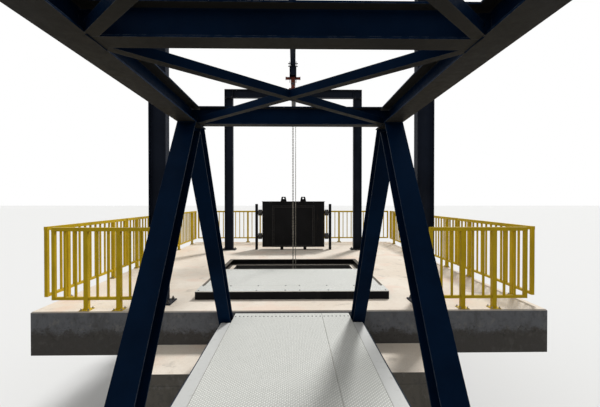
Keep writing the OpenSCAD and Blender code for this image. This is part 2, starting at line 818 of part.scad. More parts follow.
// Row of three panels along +X, centred, the middle one with its own count
module rail_row(outer, middle, inset) {
    total = (2 * outer + middle) * pitch + 2 * panel_gap;
    translate([-total / 2, 0, 0]) rail_panel(outer, [3, outer - 3], inset);
    translate([outer * pitch + panel_gap - total / 2, 0, 0]) rail_panel(middle, [3, middle - 3], inset);
    translate([total / 2 - outer * pitch, 0, 0]) rail_panel(outer, [3, outer - 3], inset);
}

module front_railing(side) {
    x = slab_w / 2 - front_rail_offset;
    color(rail_yellow) mirror([side < 0 ? 0 : 1, 0, 0])
        translate([-x, front_y + end_inset, deck_h]) rail_panel(front_pitches, [3, 6], end_inset);
}

module side_railing(side) {
    color(rail_yellow) translate([side * (slab_w / 2 - side_inset), (front_y + rear_y) / 2, deck_h])
        rotate([0, 0, 90]) rail_row(15, 18, side_inset);
}

module rear_railing() {
    color(rail_yellow) translate([0, rear_y - end_inset, deck_h]) rail_row(15, 15, end_inset);
}

platform_slab();
bridge_seat();
cross_wall(front_y, well_y0);  // front_well_wall
cross_wall(well_y1, well_y1 + wall_t);  // rear_well_wall
side_wall(-1);  // left_wall
side_wall(1);  // right_wall
cross_wall(tower_y1 - wall_t, tower_y1);  // rear_wall
hatch_kerb();
hatch_covers();
gate_guides();
column(-column_x, portal_y0);  // front_left_column
column(column_x, portal_y0);  // front_right_column
column(-column_x, portal_y1);  // rear_left_column
column(column_x, portal_y1);  // rear_right_column
portal_beam(portal_y0);  // front_portal_beam
portal_beam(portal_y1);  // rear_portal_beam
monorail_beam();
trolley();
suspension_shaft();
chain_hoist();
load_chain();
hand_chain();
load_hook();
leaf_skin();
leaf_girders();
leaf_seal();
lifting_lugs();
end_beam(-1);  // left_end_beam
end_beam(1);  // right_end_beam
leaf_wheel(-1, upper_wheel_h);  // upper_left_wheel
leaf_wheel(1, upper_wheel_h);  // upper_right_wheel
leaf_wheel(-1, lower_wheel_h);  // lower_left_wheel
leaf_wheel(1, lower_wheel_h);  // lower_right_wheel
bottom_chord(-1);  // left_bottom_chord
bottom_chord(1);  // right_bottom_chord
top_chord(-1);  // left_top_chord
top_chord(1);  // right_top_chord
diagonals(-1);  // left_diagonals
diagonals(1);  // right_diagonals
top_crossbeams();
top_bracing();
floor_frame();
deck_plates();
bridge_bearings();
front_railing(-1);  // front_left_railing
front_railing(1);  // front_right_railing
side_railing(-1);  // left_railing
side_railing(1);  // right_railing
rear_railing();
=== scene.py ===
import json
import math
import random

import bmesh
import bpy
from mathutils import Matrix, Vector


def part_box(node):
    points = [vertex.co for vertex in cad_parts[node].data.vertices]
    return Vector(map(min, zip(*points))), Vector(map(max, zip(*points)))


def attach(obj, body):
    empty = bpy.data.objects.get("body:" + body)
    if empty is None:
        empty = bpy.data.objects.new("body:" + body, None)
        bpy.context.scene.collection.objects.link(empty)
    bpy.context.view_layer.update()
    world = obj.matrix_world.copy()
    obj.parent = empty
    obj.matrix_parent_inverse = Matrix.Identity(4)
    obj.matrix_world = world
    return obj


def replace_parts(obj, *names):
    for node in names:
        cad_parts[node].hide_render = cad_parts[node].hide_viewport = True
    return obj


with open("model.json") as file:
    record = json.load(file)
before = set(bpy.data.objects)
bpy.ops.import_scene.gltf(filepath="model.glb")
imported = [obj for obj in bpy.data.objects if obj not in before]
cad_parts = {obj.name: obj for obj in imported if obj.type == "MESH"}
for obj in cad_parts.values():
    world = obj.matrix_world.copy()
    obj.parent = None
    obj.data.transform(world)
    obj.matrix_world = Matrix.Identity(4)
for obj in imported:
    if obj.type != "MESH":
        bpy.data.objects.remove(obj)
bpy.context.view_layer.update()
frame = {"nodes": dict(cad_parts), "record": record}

nodes = frame["nodes"]
slot_of = {row["node"]: row["material_slot"] for row in frame["record"]["subparts"]}
random.seed(7)

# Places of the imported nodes, in metres. The bridge and the hoist lie on x = 0.
slab_lo, slab_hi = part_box("platform_slab")
deck, slab_under, slab_front = slab_hi.z, slab_lo.z, slab_lo.y
load_lo, load_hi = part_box("load_chain")
hand_lo, hand_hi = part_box("hand_chain")
hoist_lo, hoist_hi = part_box("chain_hoist")
hoist_y = (load_lo.y + load_hi.y) / 2
truss_x = 0.85
chord_d = chord_b = diagonal_d = 0.15
half_panel = 1.525
end_node = slab_front - 0.245
corners = [(sx, sy) for sx in (-1, 1) for sy in (-1, 1)]


# Materials

class Mat:
    """Procedural material in object coordinates, which are metres in the row frame."""

    def __init__(self, name, rough=0.5, metal=0.0, specular=0.5):
        self.m = bpy.data.materials.new(name)
        self.m.use_nodes = True
        self.t = self.m.node_tree
        self.p = self.t.nodes["Principled BSDF"]
        self.p.inputs["Roughness"].default_value = rough
        self.p.inputs["Metallic"].default_value = metal
        self.p.inputs["Specular IOR Level"].default_value = specular
        self.place = self.node("ShaderNodeTexCoord").outputs["Object"]
        self.height = None

    def node(self, kind, **props):
        n = self.t.nodes.new(kind)
        for key, value in props.items():
            setattr(n, key, value)
        return n

    def put(self, socket, value):
        """Link a socket to a node's output, or set it to a colour or a number."""
        if isinstance(value, bpy.types.NodeSocket):
            self.t.links.new(value, socket)
        elif isinstance(value, (tuple, list)) and len(value) == 3 and socket.type == "RGBA":
            socket.default_value = (*value, 1.0)
        else:
            socket.default_value = value

    def stretch(self, x, y, z):
        n = self.node("ShaderNodeVectorMath", operation="MULTIPLY")
        self.put(n.inputs[0], self.place)
        n.inputs[1].default_value = (x, y, z)
        return n.outputs[0]

    def noise(self, scale, detail=4.0, rough=0.55, place=None):
        n = self.node("ShaderNodeTexNoise")
        self.put(n.inputs["Vector"], place or self.place)
        n.inputs["Scale"].default_value = scale
        n.inputs["Detail"].default_value = detail
        n.inputs["Roughness"].default_value = rough
        return n.outputs["Fac"]

    def cells(self, scale):
        n = self.node("ShaderNodeTexVoronoi")
        self.put(n.inputs["Vector"], self.place)
        n.inputs["Scale"].default_value = scale
        return n.outputs["Distance"]

    def calc(self, operation, a, b=0.0, clamp=False):
        n = self.node("ShaderNodeMath", operation=operation, use_clamp=clamp)
        self.put(n.inputs[0], a)
        self.put(n.inputs[1], b)
        return n.outputs[0]

    def times(self, a, b):
        return self.calc("MULTIPLY", a, b)

    def plus(self, a, b):
        return self.calc("ADD", a, b)

    def minus(self, a, b):
        return self.calc("SUBTRACT", a, b)

    def band(self, value, low, high, to_low=0.0, to_high=1.0):
        """Smooth step from one value to another while the input goes from low to high."""
        n = self.node("ShaderNodeMapRange", interpolation_type="SMOOTHSTEP", clamp=True)
        self.put(n.inputs["Value"], value)
        n.inputs["From Min"].default_value = low
        n.inputs["From Max"].default_value = high
        n.inputs["To Min"].default_value = to_low
        n.inputs["To Max"].default_value = to_high
        return n.outputs["Result"]

    def mix(self, share, a, b):
        """Colour a, with a share of colour b."""
        n = self.node("ShaderNodeMix", data_type="RGBA")
        self.put(n.inputs[0], share)
        self.put(n.inputs[6], a)
        self.put(n.inputs[7], b)
        return n.outputs[2]

    def parts(self, vector):
        n = self.node("ShaderNodeSeparateXYZ")
        self.put(n.inputs[0], vector)
        return n.outputs

    def within(self, value, middle, half):
        """1 where the value is less than half away from the middle."""
        away = self.calc("ABSOLUTE", self.minus(value, middle))
        return self.calc("LESS_THAN", away, half)

    def normal(self):
        return self.node("ShaderNodeNewGeometry").outputs["Normal"]

    def facing_up(self, low=0.5, high=0.9):
        return self.band(self.parts(self.normal())[2], low, high)

    def edge(self, radius):
        """1 along the sharp edges, and 0 on the faces."""
        bevel = self.node("ShaderNodeBevel", samples=4)
        bevel.inputs["Radius"].default_value = radius
        dot = self.node("ShaderNodeVectorMath", operation="DOT_PRODUCT")
        self.put(dot.inputs[0], bevel.outputs[0])
        self.put(dot.inputs[1], self.normal())
        return self.band(dot.outputs["Value"], 0.90, 0.995, 1.0, 0.0)

    def color(self, value):
        self.put(self.p.inputs["Base Color"], value)

    def rough(self, value):
        self.put(self.p.inputs["Roughness"], value)

    def bump(self, height, distance, strength=1.0):
        """Lay a bump over the ones before it."""
        n = self.node("ShaderNodeBump")
        n.inputs["Strength"].default_value = strength
        n.inputs["Distance"].default_value = distance
        self.put(n.inputs["Height"], height)
        if self.height is not None:
            self.put(n.inputs["Normal"], self.height)
        self.height = n.outputs[0]
        self.put(self.p.inputs["Normal"], self.height)


def chequer(m, size):
    """Height of the raised tears of chequered plate, 0 to 1, and how bright each one is painted as
    a glint of light.

    Each square cell holds one tear, which lies along one diagonal or the other by turns. The tears
    along one diagonal are painted as lit, and those along the other mostly as unlit.
    """
    half_length, half_width = 0.80, 0.36
    # Share of the painted glint that the tears along the other diagonal get.
    other_diagonal_glint = 0.2
    place = m.parts(m.stretch(1 / size, 1 / size, 1 / size))
    odd = m.calc("PINGPONG", m.plus(m.calc("FLOOR", place[0]), m.calc("FLOOR", place[1])), 1.0)
    x, y = (m.minus(m.calc("FRACT", axis), 0.5) for axis in (place[0], place[1]))
    a, b = m.plus(x, y), m.minus(x, y)
    along = m.plus(a, m.times(odd, m.minus(b, a)))
    across = m.plus(b, m.times(odd, m.minus(a, b)))
    length = m.calc("POWER", m.calc("DIVIDE", along, half_length), 2.0)
    width = m.calc("POWER", m.calc("DIVIDE", across, half_width), 2.0)
    height = m.band(m.plus(length, width), 0.45, 1.1, 1.0, 0.0)
    return height, m.times(height, m.band(odd, 0.0, 1.0, 1.0, other_diagonal_glint))


def concrete_mat():
    """Bleached on top, with the slab's sides painted dark as shade, bluish above a ragged stain
    line and darker below it, wet at the foot, and painted shade in the well.
    """
    stain_z = 2.71
    lift = 0.60
    well_half, well_y = 1.335, 2.825
    m = Mat("concrete", rough=0.92, specular=0.2)
    large = m.noise(0.55, 5, 0.6)
    patch = m.noise(2.6, 6, 0.68)
    fine = m.noise(9, 6, 0.7)
    grain = m.noise(90, 4, 0.7)
    x, y, z = m.parts(m.place)

    top = m.mix(m.band(large, 0.35, 0.65), (0.83, 0.73, 0.61), (0.93, 0.85, 0.74))
    top = m.mix(m.band(fine, 0.50, 0.78, 0.0, 0.40), top, (0.66, 0.53, 0.40))
    top = m.mix(m.band(m.noise(1.7, 3, 0.5), 0.50, 0.68, 0.0, 0.5), top, (0.88, 0.67, 0.54))
    top = m.mix(m.band(patch, 0.56, 0.70, 0.0, 0.45), top, (0.42, 0.37, 0.31))

    wave = m.times(m.minus(m.noise(3.8, 8, 0.78), 0.5), 0.46)
    ragged_z = m.plus(z, wave)
    of_slab = m.times(m.calc("GREATER_THAN", z, slab_under - 0.002),
                      m.calc("GREATER_THAN", y, slab_front - 0.002))
    # Painted shade: the slab's sides are darker than the walls below it, bluish grey like sky-lit
    # shade above the ragged stain line and near black below it.
    upper = m.band(ragged_z, stain_z - 0.04, stain_z + 0.05)
    slab_side_shade = m.mix(upper, (0.066, 0.064, 0.062), (0.150, 0.162, 0.184))
    side = m.mix(of_slab, (0.142, 0.136, 0.122), slab_side_shade)
    runs = m.noise(5.5, 6, 0.7, m.stretch(1, 1, 0.35))
    side = m.mix(m.band(runs, 0.46, 0.70, 0.0, 0.55), side, (0.060, 0.060, 0.056))
    blot = m.noise(15, 5, 0.75)
    side = m.mix(m.band(blot, 0.50, 0.66, 0.0, 0.50), side, (0.075, 0.076, 0.078))
    clean = m.band(m.calc("MAXIMUM", upper, m.minus(1.0, of_slab)), 0.0, 1.0, 0.3, 1.0)
    side = m.mix(m.times(m.band(fine, 0.54, 0.66, 0.0, 0.45), clean), side, (0.235, 0.235, 0.230))
    near_stain = m.band(m.calc("ABSOLUTE", m.minus(ragged_z, stain_z)), 0.03, 0.13, 1.0, 0.0)
    specks = m.band(m.noise(24, 6, 0.8), 0.52, 0.64, 0.0, 0.75)
    side = m.mix(m.times(m.times(of_slab, near_stain), specks), side, (0.030, 0.030, 0.031))

    joint = m.band(m.calc("PINGPONG", z, lift / 2), 0.0, 0.006, 1.0, 0.0)
    side = m.mix(m.times(joint, 0.45), side, (0.05, 0.05, 0.048))
    wet = m.band(m.plus(ragged_z, wave), 0.30, 0.80, 0.8, 0.0)
    side = m.mix(wet, side, (0.045, 0.047, 0.036))
    # Painted shade: the walls inside the well are made near black.
    well = m.times(m.within(x, 0.0, well_half), m.within(y, well_y, well_half))
    side = m.mix(m.times(well, 0.85), side, (0.028, 0.027, 0.024))

    base = m.mix(m.facing_up(), side, top)
    m.color(m.mix(m.band(grain, 0.35, 0.65, 0.0, 0.14), base, (0.20, 0.18, 0.15)))
    m.rough(m.band(large, 0.3, 0.7, 0.82, 0.97))
    m.bump(m.plus(m.times(fine, 0.7), m.times(grain, 0.3)), 0.008, 0.8)
    m.bump(m.band(m.cells(38), 0.0, 0.2), 0.004, 0.6)
    m.bump(joint, 0.004, 0.6)
    return m.m


def paint_mat(name, body, dusty, wear_and_glint, rough, dust=0.35, wear=0.5, radius=0.005, scale=1.0,
              specular=0.06, runs=0.12, deep=0.62, underside_bounce=0.0):
    """Painted steel: cloudy colour, runs, dust on top, a light brown tint on the undersides painted
    as bounce light, bare edges, orange peel.
    """
    m = Mat(name, rough=rough, specular=specular)
    cloud = m.noise(1.6 * scale, 5, 0.6)
    fine = m.noise(26 * scale, 5, 0.65)
    base = m.mix(m.band(cloud, 0.35, 0.68), body, tuple(c * deep for c in body))
    streak = m.noise(7 * scale, 5, 0.6, m.stretch(1, 1, 0.12))
    base = m.mix(m.band(streak, 0.55, 0.75, 0.0, runs), base, dusty)
    lying = m.times(m.facing_up(0.6, 0.95), m.band(cloud, 0.25, 0.7, dust * 0.55, dust))
    base = m.mix(lying, base, dusty)
    # Painted bounce light: downward faces are tinted light brown, as if lit from the surfaces
    # below.
    if underside_bounce:
        bounce_below = m.band(m.parts(m.normal())[2], -0.95, -0.6, underside_bounce, 0.0)
        base = m.mix(bounce_below, base, (0.049, 0.043, 0.030))
    chips = m.times(m.edge(radius), m.band(fine, 0.42, 0.58, 0.0, wear))
    m.color(m.mix(chips, base, wear_and_glint))
    sheen = m.band(fine, 0.3, 0.7, rough - 0.07, rough + 0.10)
    m.rough(m.calc("ADD", sheen, m.times(lying, 0.3), clamp=True))
    m.bump(fine, 0.0012, 0.5)
    m.bump(m.noise(210 * scale, 2, 0.5), 0.0004, 0.5)
    return m.m


def plate_mat():
    """Pale paint, chequered on the deck sheets and the hatch covers, plain on the edge strips, with
    painted glints on the tears and painted shade between them.
    """
    cell = 0.017
    sheet_x = 0.7655
    hatch_front = 0.8
    m = Mat("plate_paint", rough=0.55, specular=0.4)
    tears, wear_and_glint = chequer(m, cell)
    x, y, _ = m.parts(m.place)
    chequered = m.calc("MAXIMUM", m.within(x, 0.0, sheet_x), m.calc("GREATER_THAN", y, hatch_front))
    up = m.times(m.facing_up(0.6, 0.95), chequered)
    cloud = m.noise(1.1, 5, 0.6)
    fine = m.noise(17, 6, 0.7)
    base = m.mix(m.band(cloud, 0.35, 0.68), (0.98, 0.98, 0.93), (0.92, 0.925, 0.875))
    base = m.mix(chequered, (0.58, 0.585, 0.565), base)
    base = m.mix(m.band(fine, 0.55, 0.80, 0.0, 0.55), base, (0.30, 0.285, 0.25))
    # Painted light and shade on the chequered tops: the lit tears keep the pale paint, and the gaps
    # and the unlit tears get a darker grey as painted shade.
    between = m.times(m.minus(1.0, wear_and_glint), m.times(up, 0.80))
    base = m.mix(between, base, (0.465, 0.472, 0.435))
    m.color(m.mix(m.times(m.edge(0.006), 0.5), base, (0.20, 0.17, 0.13)))
    m.rough(m.band(fine, 0.3, 0.75, 0.42, 0.66))
    m.bump(m.times(tears, up), 0.0016, 1.0)
    m.bump(fine, 0.0008, 0.35)
    return m.m


def metal_mat(name, body, dark, rough, metal, scale=1.0):
    """Bare or galvanised steel with dark dirt in blotches."""
    m = Mat(name, rough=rough, metal=metal)
    cloud = m.noise(14 * scale, 5, 0.65)
    grit = m.noise(160 * scale, 4, 0.6)
    base = m.mix(m.band(cloud, 0.40, 0.70), body, dark)
    m.color(m.mix(m.band(grit, 0.52, 0.75, 0.0, 0.5), base, (0.10, 0.075, 0.05)))
    m.rough(m.band(grit, 0.3, 0.7, rough - 0.08, rough + 0.15))
    m.bump(grit, 0.0006, 0.6)
    return m.m


def rubber_mat():
    """Black rubber with dust in blotches."""
    m = Mat("seal_rubber", rough=0.75, specular=0.35)
    dust = m.noise(12, 5, 0.65)
    m.color(m.mix(m.band(dust, 0.45, 0.75, 0.0, 0.7), (0.018, 0.018, 0.019),
                  (0.075, 0.068, 0.058)))
    m.rough(m.band(dust, 0.3, 0.7, 0.66, 0.9))
    m.bump(m.noise(140, 3), 0.0006, 0.5)
    return m.m


mats = {
    "concrete": concrete_mat(),
    "leaf_steel": paint_mat(
        "leaf_steel", (0.010, 0.010, 0.011), (0.20, 0.18, 0.15), (0.12, 0.09, 0.07), 0.52,
        dust=0.75, wear=0.45, runs=0.06),
    "gantry_steel": paint_mat(
        "gantry_steel", (0.0125, 0.017, 0.029), (0.11, 0.105, 0.10), (0.16, 0.15, 0.14), 0.46,
        dust=0.40, wear=0.35, specular=0.035, runs=0.06),
    # The bridge steel gets painted bounce light on its undersides.
    "bridge_steel": paint_mat(
        "bridge_steel", (0.002, 0.0125, 0.038), (0.09, 0.10, 0.11), (0.24, 0.27, 0.31), 0.44,
        dust=0.35, wear=0.28, radius=0.004, specular=0.018, runs=0.015, underside_bounce=0.7),
    "plate_paint": plate_mat(),
    "railing_paint": paint_mat(
        "railing_paint", (0.62, 0.43, 0.006), (0.46, 0.34, 0.09), (0.14, 0.08, 0.035), 0.42,
        dust=0.10, wear=0.35, radius=0.003, scale=1.6, specular=0.16, runs=0.10, deep=0.82),
    "hoist_paint": paint_mat(
        "hoist_paint", (0.17, 0.030, 0.014), (0.22, 0.10, 0.06), (0.07, 0.050, 0.040), 0.44,
        dust=0.25, wear=0.75, radius=0.004, scale=4.0, specular=0.2, runs=0.3),
    "chain_steel": metal_mat(
        "chain_steel", (0.26, 0.245, 0.205), (0.11, 0.10, 0.085), 0.45, 0.7),
    "wheel_iron": metal_mat(
        "wheel_iron", (0.030, 0.029, 0.028), (0.016, 0.015, 0.015), 0.50, 0.25),
    "seal_rubber": rubber_mat(),
}
bolt_dark = metal_mat(
    "bolt_dark", (0.055, 0.053, 0.052), (0.028, 0.027, 0.027), 0.50, 0.25, 3.0)
bolt_zinc = metal_mat("bolt_zinc", (0.30, 0.29, 0.27), (0.15, 0.14, 0.13), 0.45, 0.7, 3.0)

for name, obj in nodes.items():
    obj.data.materials.clear()
    obj.data.materials.append(mats[slot_of[name]])


# Mesh helpers

def piece(name, bm, material, body, smooth=False):
    """Object made of the bmesh, riding on a body."""
    mesh = bpy.data.meshes.new(name)
    bmesh.ops.recalc_face_normals(bm, faces=bm.faces)
    bm.to_mesh(mesh)
    bm.free()
    if smooth:
        mesh.shade_smooth()
    obj = bpy.data.objects.new(name, mesh)
    bpy.context.scene.collection.objects.link(obj)
    mesh.materials.append(material)
    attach(obj, body)
    return obj


def basis(axis, up=(0, 0, 1)):
    """Rotation whose Z is the given axis."""
    z = Vector(axis).normalized()
    x = Vector(up).cross(z)
    if x.length < 1e-6:
        x = Vector((1, 0, 0))
    x.normalize()
    return Matrix((x, z.cross(x), z)).transposed()


def ring(bm, at, rot, radius, height, sides, turn=0.0):
    """Vertices round the Z axis of a turned frame."""
    angles = [2 * math.pi * k / sides + turn for k in range(sides)]
    return [bm.verts.new(at + rot @ Vector((radius * math.cos(a), radius * math.sin(a), height)))
            for a in angles]


def skin(bm, low, high):
    """Faces between two loops of as many vertices."""
    n = len(low)
    for k in range(n):
        bm.faces.new((low[k], low[(k + 1) % n], high[(k + 1) % n], high[k]))


def lathe(bm, at, axis, profile, sides, turn=0.0):
    """Solid of revolution round an axis from (radius, height) pairs."""
    rot, at = basis(axis), Vector(at)
    rings = [ring(bm, at, rot, r, h, sides, turn) for r, h in profile]
    for low, high in zip(rings, rings[1:]):
        skin(bm, low, high)
    bm.faces.new(rings[-1])
    bm.faces.new(tuple(reversed(rings[0])))


def hex_bolt(bm, at, axis, across, stud=0.0):
    """Washer, chamfered hexagon and, where asked, a stud end. Its foot is at the given place."""
    corner_r = across / math.sqrt(3)
    washer_r, washer_t = across * 0.95, across * 0.14
    head = across * 0.62
    unit = Vector(axis).normalized()
    lathe(bm, at, axis, [(washer_r, -0.0005), (washer_r, washer_t)], 14)
    lathe(bm, Vector(at) + unit * washer_t, axis,
          [(corner_r, -0.0003), (corner_r, head * 0.82), (corner_r * 0.86, head)], 6,
          random.uniform(0, 1.0))
    if stud:
        lathe(bm, Vector(at) + unit * (washer_t + head), axis,
              [(across * 0.30, -0.001), (across * 0.30, stud * 0.85), (across * 0.24, stud)], 8)


def prism(bm, low, high):
    """Solid between two flat loops of as many points."""
    a, b = ([bm.verts.new(p) for p in points] for points in (low, high))
    skin(bm, a, b)
    bm.faces.new(b)
    bm.faces.new(tuple(reversed(a)))


def bar(bm, low, high):
    """Rectangular bar from its lowest to its highest corner."""
    (x0, y0, z0), (x1, y1, z1) = low, high
    plan = [(x0, y0), (x1, y0), (x1, y1), (x0, y1)]
    prism(bm, [(x, y, z0) for x, y in plan], [(x, y, z1) for x, y in plan])


def tube(bm, points, radius, sides, closed=False):
    """Round bar along points."""
    points = [Vector(p) for p in points]
    n = len(points)
    rings = []
    for i, p in enumerate(points):
        before = points[(i - 1) % n] if closed or i else p
        after = points[(i + 1) % n] if closed or i < n - 1 else p
        rot = basis(after - before, (0.31, 0.17, 0.93))
        rings.append(ring(bm, p, rot, radius, 0, sides))
    for low, high in zip(rings, rings[1:]):
        skin(bm, low, high)
    if closed:
        skin(bm, rings[-1], rings[0])
    else:
        bm.faces.new(tuple(reversed(rings[0])))
        bm.faces.new(rings[-1])


def link(bm, middle, along, out, half_l, half_w, wire):
    """One chain link: two half circles of wire, joined by straight sides."""
    steps = 4
    points = []
    for end in (1, -1):
        for k in range(steps + 1):
            t = -math.pi / 2 + math.pi * k / steps
            points.append(middle + along * end * (half_l + half_w * math.cos(t))
                          + out * end * half_w * math.sin(t))
    tube(bm, points, wire / 2, 6, closed=True)


def chain(bm, path, wire, width, pitch, closed=False):
    """Links along a path, each turned a quarter against the last. The pitch is fitted to it."""
    lengths = [0.0]
    for a, b in zip(path, path[1:]):
        lengths.append(lengths[-1] + (Vector(b) - Vector(a)).length)
    count = round(lengths[-1] / pitch)
    if closed and count % 2:
        count += 1
    step = lengths[-1] / count
    slack = wire * 0.35
    half_w = (width - wire) / 2
    half_l = (step + wire) / 2 - half_w + slack
    side = Vector((1, 0, 0))
    seg = 0
    for i in range(count):
        s = (i + 0.5) * step
        while lengths[seg + 1] < s:
            seg += 1
        a, b = Vector(path[seg]), Vector(path[seg + 1])
        along = (b - a).normalized()
        middle = a.lerp(b, (s - lengths[seg]) / (lengths[seg + 1] - lengths[seg]))
        out = side if i % 2 else along.cross(side).normalized()
        link(bm, middle, along, out, half_l, half_w, wire)


# Load chain, with its end links let into the hoist and the hook
let_in = 0.004
bm = bmesh.new()
chain(bm, [(0, hoist_y, load_lo.z - let_in), (0, hoist_y, load_hi.z + let_in)],
      wire=0.0095, width=0.0345, pitch=0.030)
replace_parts(piece("load_chain_links", bm, mats["chain_steel"], "hoist_carriage",
                  True), "load_chain")

# Hand chain: up one side, over its wheel, down the other side, and round the low end
bar_half = 0.008
turn_steps = 14
loop_x = (hand_lo.x + hand_hi.x) / 2
loop_r = (hand_hi.y - hand_lo.y) / 2 - bar_half
loop_top, loop_low = hand_hi.z - bar_half - loop_r, hand_lo.z + bar_half + loop_r
half_turn = [math.pi * k / turn_steps for k in range(1, turn_steps + 1)]
loop = [(loop_x, hoist_y - loop_r, loop_low), (loop_x, hoist_y - loop_r, loop_top)]
loop += [(loop_x, hoist_y - loop_r * math.cos(a), loop_top + loop_r * math.sin(a))
         for a in half_turn]
loop += [(loop_x, hoist_y + loop_r, loop_low)]
loop += [(loop_x, hoist_y + loop_r * math.cos(a), loop_low - loop_r * math.sin(a))
         for a in half_turn]
bm = bmesh.new()
chain(bm, loop, wire=0.0048, width=0.0158, pitch=0.0215, closed=True)
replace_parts(piece("hand_chain_links", bm, mats["chain_steel"], "hoist_carriage",
                  True), "hand_chain")

# Gantry bolts: at the columns' feet, through their caps, and through the monorail's flange
base_x, base_y, base_hex, base_stud, base_plate_t = 0.165, 0.105, 0.036, 0.022, 0.020
cap_x, cap_y, cap_hex, cap_stud, cap_t = 0.085, 0.045, 0.024, 0.010, 0.015
rail_x, beam_flange_t, rail_flange_t = 0.034, 0.011, 0.012
up, down = (0, 0, 1), (0, 0, -1)
bm = bmesh.new()
for name in ("front_left_column", "front_right_column", "rear_left_column", "rear_right_column"):
    lo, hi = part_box(name)
    cx, cy = (lo.x + hi.x) / 2, (lo.y + hi.y) / 2
    for sx, sy in corners:
        hex_bolt(bm, (cx + sx * base_x, cy + sy * base_y, deck + base_plate_t), up, base_hex,
                 base_stud)
        x, y = cx + sx * cap_x, cy + sy * cap_y
        hex_bolt(bm, (x, y, hi.z - cap_t), down, cap_hex)
        hex_bolt(bm, (x, y, hi.z + beam_flange_t), up, cap_hex, cap_stud)
for name in ("front_portal_beam", "rear_portal_beam"):
    lo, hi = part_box(name)
    for sx, sy in corners:
        x, y = sx * rail_x, (lo.y + hi.y) / 2 + sy * cap_y
        hex_bolt(bm, (x, y, lo.z + beam_flange_t), up, cap_hex, cap_stud)
        hex_bolt(bm, (x, y, lo.z - rail_flange_t), down, cap_hex)
piece("gantry_bolts", bm, bolt_dark, "tower")

# Bolts in the corners of the rail posts' foot plates, and in the bridge bearings
foot_edge, foot_plate_t, foot_reach, post_hex, post_stud = 0.018, 0.010, 0.25, 0.016, 0.012
bearing_x, bearing_y, bearing_t, bearing_hex, bearing_stud = 0.125, 0.145, 0.025, 0.030, 0.020
bm = bmesh.new()
for name in ("front_left_railing", "front_right_railing", "left_railing", "right_railing",
             "rear_railing"):
    feet = []
    for v in nodes[name].data.vertices:
        if abs(v.co.z - deck) < 1e-4:
            near = [foot for foot in feet if (v.co.xy - foot[0]).length < foot_reach]
            if near:
                near[0].append(v.co.xy.copy())
            else:
                feet.append([v.co.xy.copy()])
    for foot in feet:
        xs, ys = [p.x for p in foot], [p.y for p in foot]
        for x in (min(xs) + foot_edge, max(xs) - foot_edge):
            for y in (min(ys) + foot_edge, max(ys) - foot_edge):
                hex_bolt(bm, (x, y, deck + foot_plate_t), up, post_hex, post_stud)
lo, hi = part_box("bridge_bearings")
for side in (-1, 1):
    for sx, sy in corners:
        hex_bolt(bm, (side * truss_x + sx * bearing_x, (lo.y + hi.y) / 2 + sy * bearing_y,
                      lo.z + bearing_t), up, bearing_hex, bearing_stud)
piece("foot_bolts", bm, bolt_zinc, "tower")

# Screws across both ends of the bridge deck, and over the kerb of the hatch covers
deck_screw = [(0.0085, -0.0005), (0.0085, 0.0025), (0.005, 0.0055)]
deck_screw_y, deck_screw_pitch, stray = 0.130, 0.053, 0.003
cover_screw = [(0.012, -0.0005), (0.012, 0.003), (0.007, 0.007)]
cover_screw_ys, cover_screw_pitch = (1.40, 1.685), 0.112
cover_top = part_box("hatch_covers")[1].z
lo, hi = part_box("deck_plates")
bm = bmesh.new()
for y in (hi.y - deck_screw_y, lo.y + deck_screw_y):
    for k in range(-14, 15):
        lathe(bm, (k * deck_screw_pitch, y + random.uniform(-stray, stray), deck), up,
              deck_screw, 10)
for y in cover_screw_ys:
    for k in range(-13, 14):
        if abs(k) % 4 == 1:
            lathe(bm, (k * cover_screw_pitch, y, cover_top), up, cover_screw, 12)
piece("deck_screws", bm, bolt_dark, "tower")

# Gate leaf: clamp bars over the seal, with bolts in them and in the end beams' axle keepers
inset, clamp_w, clamp_t, gap = 0.014, 0.032, 0.006, 0.001
leaf_hex, spaces = 0.016, 10
lo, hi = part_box("leaf_seal")
face = lo.y
x0, x1, z0, z1 = lo.x + inset, hi.x - inset, lo.z + inset, hi.z - inset
low_end, high_end = z0 + clamp_w + gap, z1 - clamp_w - gap
bm = bmesh.new()
bar(bm, (x0, face - clamp_t, z0), (x1, face, z0 + clamp_w))
bar(bm, (x0, face - clamp_t, z1 - clamp_w), (x1, face, z1))
bar(bm, (x0, face - clamp_t, low_end), (x0 + clamp_w, face, high_end))
bar(bm, (x1 - clamp_w, face - clamp_t, low_end), (x1, face, high_end))
piece("seal_clamp_bars", bm, mats["leaf_steel"], "leaf")

bm = bmesh.new()
left, right = x0 + clamp_w / 2, x1 - clamp_w / 2
low, high = z0 + clamp_w / 2, z1 - clamp_w / 2
forward = (0, -1, 0)
for k in range(spaces + 1):
    for z in (low, high):
        hex_bolt(bm, (left + (right - left) * k / spaces, face - clamp_t, z), forward, leaf_hex)
for k in range(1, spaces):
    for x in (left, right):
        hex_bolt(bm, (x, face - clamp_t, low + (high - low) * k / spaces), forward, leaf_hex)
keeper_y, keeper_z = 0.055, 0.040
for which, side in (("left", -1), ("right", 1)):
    lo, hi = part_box(which + "_end_beam")
    out = hi.x if side > 0 else lo.x
    for level in ("upper", "lower"):
        wheel_lo, wheel_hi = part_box(f"{level}_{which}_wheel")
        y, z = (wheel_lo.y + wheel_hi.y) / 2, (wheel_lo.z + wheel_hi.z) / 2
        for sy in (-1, 1):
            hex_bolt(bm, (out - side * 0.001, y + sy * keeper_y, z + keeper_z), (side, 0, 0),
                     leaf_hex)
piece("leaf_bolts", bm, mats["leaf_steel"], "leaf")

